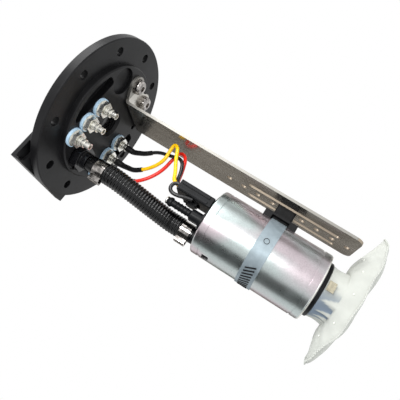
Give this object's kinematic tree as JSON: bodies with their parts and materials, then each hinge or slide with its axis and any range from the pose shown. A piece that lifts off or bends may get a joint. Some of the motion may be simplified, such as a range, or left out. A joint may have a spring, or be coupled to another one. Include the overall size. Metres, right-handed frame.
{
  "type": "fuel pump module",
  "caption": "In-tank fuel pump module: electric pump in a band clamp on a bent steel bracket under a bolted round flange, with a corrugated hose, wires and a strainer sock.",
  "frame": {"origin": "centre of the flange, in the face that seals on the tank", "axes": "+Z out of the tank along the flange axis, +Y from the bracket towards the pump, +X to the right seen from the pump side"},
  "size_m": [0.127, 0.1292, 0.2419],
  "materials": {
    "anodised_black": "black anodised, satin",
    "zinc_steel": "zinc plated",
    "zinc_can": "bright zinc plated",
    "stainless": "polished stainless",
    "black_fitting": "black anodised, gloss",
    "black_plastic": "moulded, fine grain",
    "black_rubber": "matte",
    "hose_black": "gloss",
    "insulator_white": "matte",
    "wire_black_skin": "satin",
    "wire_yellow_skin": "satin",
    "wire_red_skin": "satin",
    "sock_mesh": "fine woven mesh, translucent",
    "tan_tab": "matte",
    "copper": "enamelled copper",
    "core_steel": "varnished",
    "carbon": "carbon",
    "bearing_bronze": "sintered",
    "cast_aluminium": "as cast"
  },
  "bodies": {
    "module": {"band_strap": "zinc_steel", "band_worm_housing": "zinc_steel", "bracket": "stainless", "bracket_screws": "stainless", "brush_holder": "black_plastic", "brush_springs": "stainless", "carbon_brushes": "carbon", "chamber_plate": "cast_aluminium", "connector_pins": "copper", "connector_plug": "black_plastic", "corrugated_hose": "hose_black", "field_magnets": "core_steel", "filter_frame": "insulator_white", "filter_neck": "black_plastic", "filter_sock": "sock_mesh", "filter_tab": "tan_tab", "flange_plate": "anodised_black", "heat_shrink_sleeves": "black_rubber", "hose_clamp_lower": "stainless", "hose_clamp_upper": "stainless", "inlet_cover": "cast_aluminium", "lock_washers": "stainless", "lower_bearing": "bearing_bronze", "outer_plate": "anodised_black", "outer_plate_screws": "zinc_steel", "outlet_fitting": "black_fitting", "outlet_nut": "zinc_steel", "outlet_retainer": "zinc_steel", "outlet_spring": "stainless", "outlet_washer": "zinc_steel", "port_plug": "zinc_steel", "port_seal": "black_rubber", "pump_can": "zinc_can", "pump_top_cap": "black_plastic", "push_nut": "zinc_steel", "relief_barb": "black_plastic", "relief_spring": "stainless", "saddle_block": "black_rubber", "saddle_screw": "zinc_steel", "stud_insulators": "insulator_white", "stud_nuts_inner": "zinc_steel", "stud_nuts_outer": "zinc_steel", "stud_pins_spare": "zinc_steel", "stud_pins_wired": "zinc_steel", "stud_washers_inner": "insulator_white", "stud_washers_outer": "insulator_white", "upper_bearing": "bearing_bronze", "wire_black": "wire_black_skin", "wire_pigtail": "wire_black_skin", "wire_red": "wire_red_skin", "wire_yellow": "wire_yellow_skin"},
    "rotor": {"rotor_shaft": "stainless", "commutator": "copper", "armature_core": "core_steel", "armature_windings": "copper", "impeller": "black_plastic"},
    "outlet_check": {"outlet_poppet": "black_rubber"},
    "relief_check": {"relief_poppet": "black_plastic"},
    "band_worm": {"band_worm_screw": "zinc_steel"},
    "latch": {"connector_latch": "black_plastic"}
  },
  "joints": [
    {"name": "rotor_spin", "type": "hinge", "parent": "module", "child": "rotor", "pos_m": [0.0165, 0.019, -0.146], "axis": [0, 0, 1], "continuous": true},
    {"name": "band_worm_turn", "type": "hinge", "parent": "module", "child": "band_worm", "pos_m": [0.04469, 0.02926, -0.1465], "axis": [-0.342, 0.9397, 0], "continuous": true},
    {"name": "connector_latch_lift", "type": "hinge", "parent": "module", "child": "latch", "pos_m": [0.007, 0.0175, -0.084], "axis": [1, 0, 0], "range_deg": [0, 8], "stiffness_Nm_per_rad": 0.02},
    {"name": "outlet_check_lift", "type": "slide", "parent": "module", "child": "outlet_check", "axis": [0, 0, 1], "range_m": [0, 0.0025], "stiffness_N_per_m": 60, "deforming": ["outlet_spring"]},
    {"name": "relief_check_lift", "type": "slide", "parent": "module", "child": "relief_check", "axis": [0, 0, 1], "range_m": [0, 0.0015], "stiffness_N_per_m": 90, "deforming": ["relief_spring"]}
  ]
}
